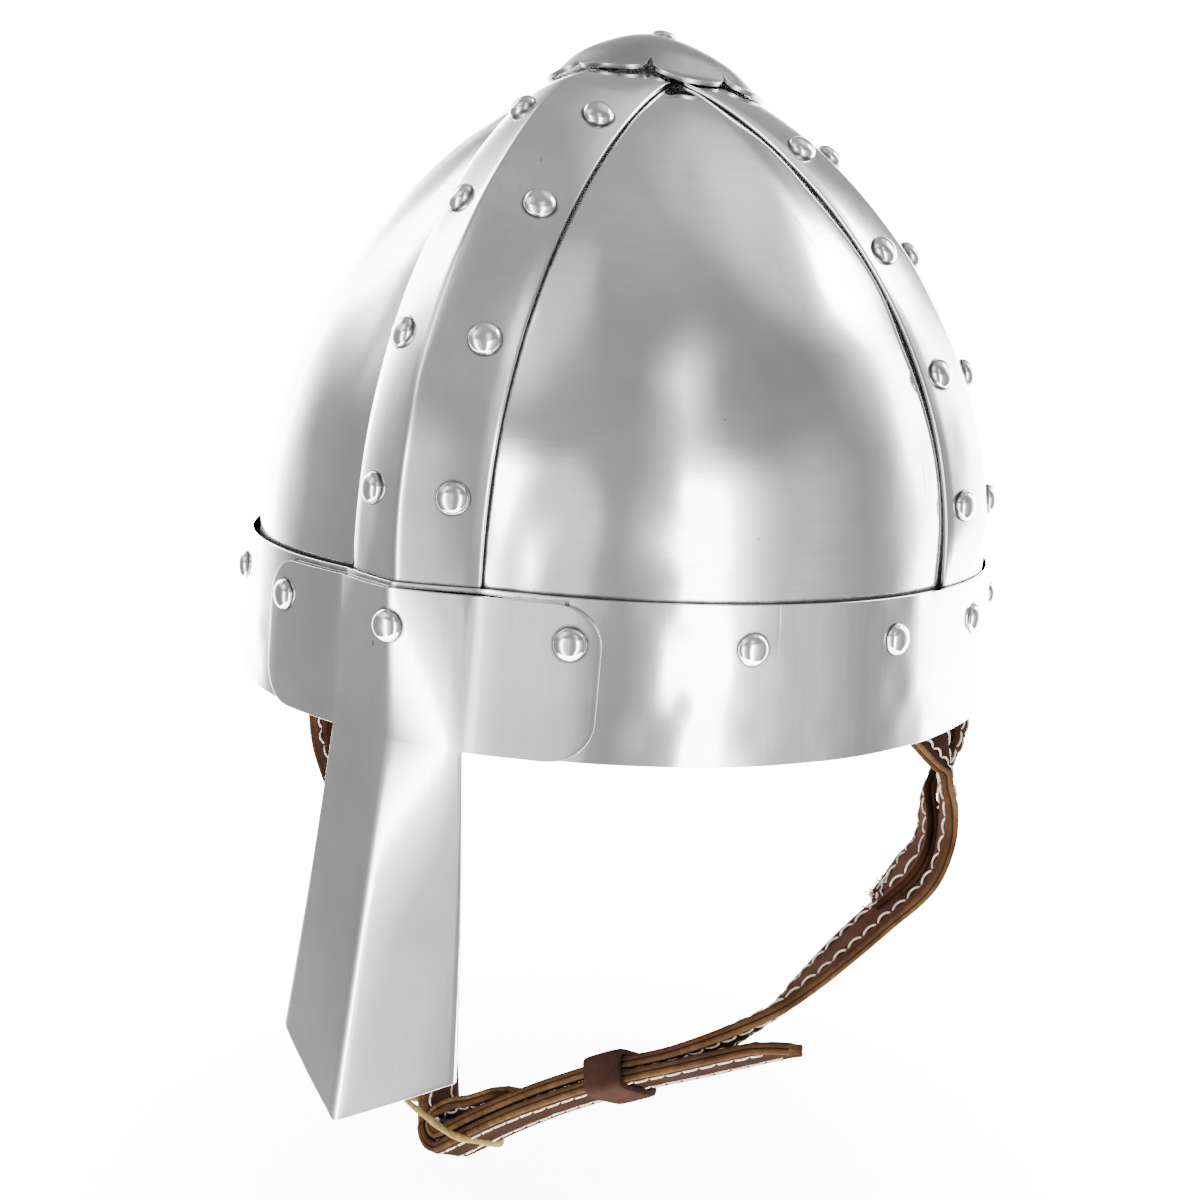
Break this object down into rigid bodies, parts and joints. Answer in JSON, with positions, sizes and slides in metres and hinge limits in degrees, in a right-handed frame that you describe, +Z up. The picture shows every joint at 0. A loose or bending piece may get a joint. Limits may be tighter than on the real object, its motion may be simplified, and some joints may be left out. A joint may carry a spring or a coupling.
{
  "type": "spangenhelm helmet",
  "caption": "Conical steel spangenhelm of riveted plates and creased bands, with a brow band, a flared nasal, a petalled cap and a tied leather chin strap.",
  "frame": {"origin": "middle of the head opening, in the plane of the brow band's lower rim", "axes": "+Z up through the crown, the face looks along -Y, the wearer's left side is +X"},
  "size_m": [0.2234, 0.2488, 0.3524],
  "materials": {
    "plate_steel": "satin ground sheet with fine scratches",
    "band_steel": "satin, a little greyer than the plates",
    "brow_steel": "bright satin, near a mirror along the brow",
    "rivet_steel": "polished domed heads",
    "strap_leather": "dark brown, matt, tan cut edges",
    "tie_rawhide": "pale untanned hide, waxy"
  },
  "bodies": {
    "root": {"plate_front_left": "plate_steel", "plate_left_back": "plate_steel", "plate_back_right": "plate_steel", "plate_right_front": "plate_steel", "band_front": "band_steel", "band_left": "band_steel", "band_back": "band_steel", "band_right": "band_steel", "brow_band": "brow_steel", "nasal": "brow_steel", "finial": "band_steel", "finial_rivet": "rivet_steel", "rivet_front_1a": "rivet_steel", "rivet_front_1b": "rivet_steel", "rivet_front_2a": "rivet_steel", "rivet_front_2b": "rivet_steel", "rivet_front_3a": "rivet_steel", "rivet_front_3b": "rivet_steel", "rivet_front_4a": "rivet_steel", "rivet_front_4b": "rivet_steel", "rivet_left_1a": "rivet_steel", "rivet_left_1b": "rivet_steel", "rivet_left_2a": "rivet_steel", "rivet_left_2b": "rivet_steel", "rivet_left_3a": "rivet_steel", "rivet_left_3b": "rivet_steel", "rivet_left_4a": "rivet_steel", "rivet_left_4b": "rivet_steel", "rivet_back_1a": "rivet_steel", "rivet_back_1b": "rivet_steel", "rivet_back_2a": "rivet_steel", "rivet_back_2b": "rivet_steel", "rivet_back_3a": "rivet_steel", "rivet_back_3b": "rivet_steel", "rivet_back_4a": "rivet_steel", "rivet_back_4b": "rivet_steel", "rivet_right_1a": "rivet_steel", "rivet_right_1b": "rivet_steel", "rivet_right_2a": "rivet_steel", "rivet_right_2b": "rivet_steel", "rivet_right_3a": "rivet_steel", "rivet_right_3b": "rivet_steel", "rivet_right_4a": "rivet_steel", "rivet_right_4b": "rivet_steel", "chin_strap_left": "strap_leather", "rear_leg_left": "strap_leather", "chin_strap_right": "strap_leather", "rear_leg_right": "strap_leather", "keeper": "strap_leather", "clasp_bar": "rivet_steel", "tie": "tie_rawhide"}
  },
  "joints": []
}
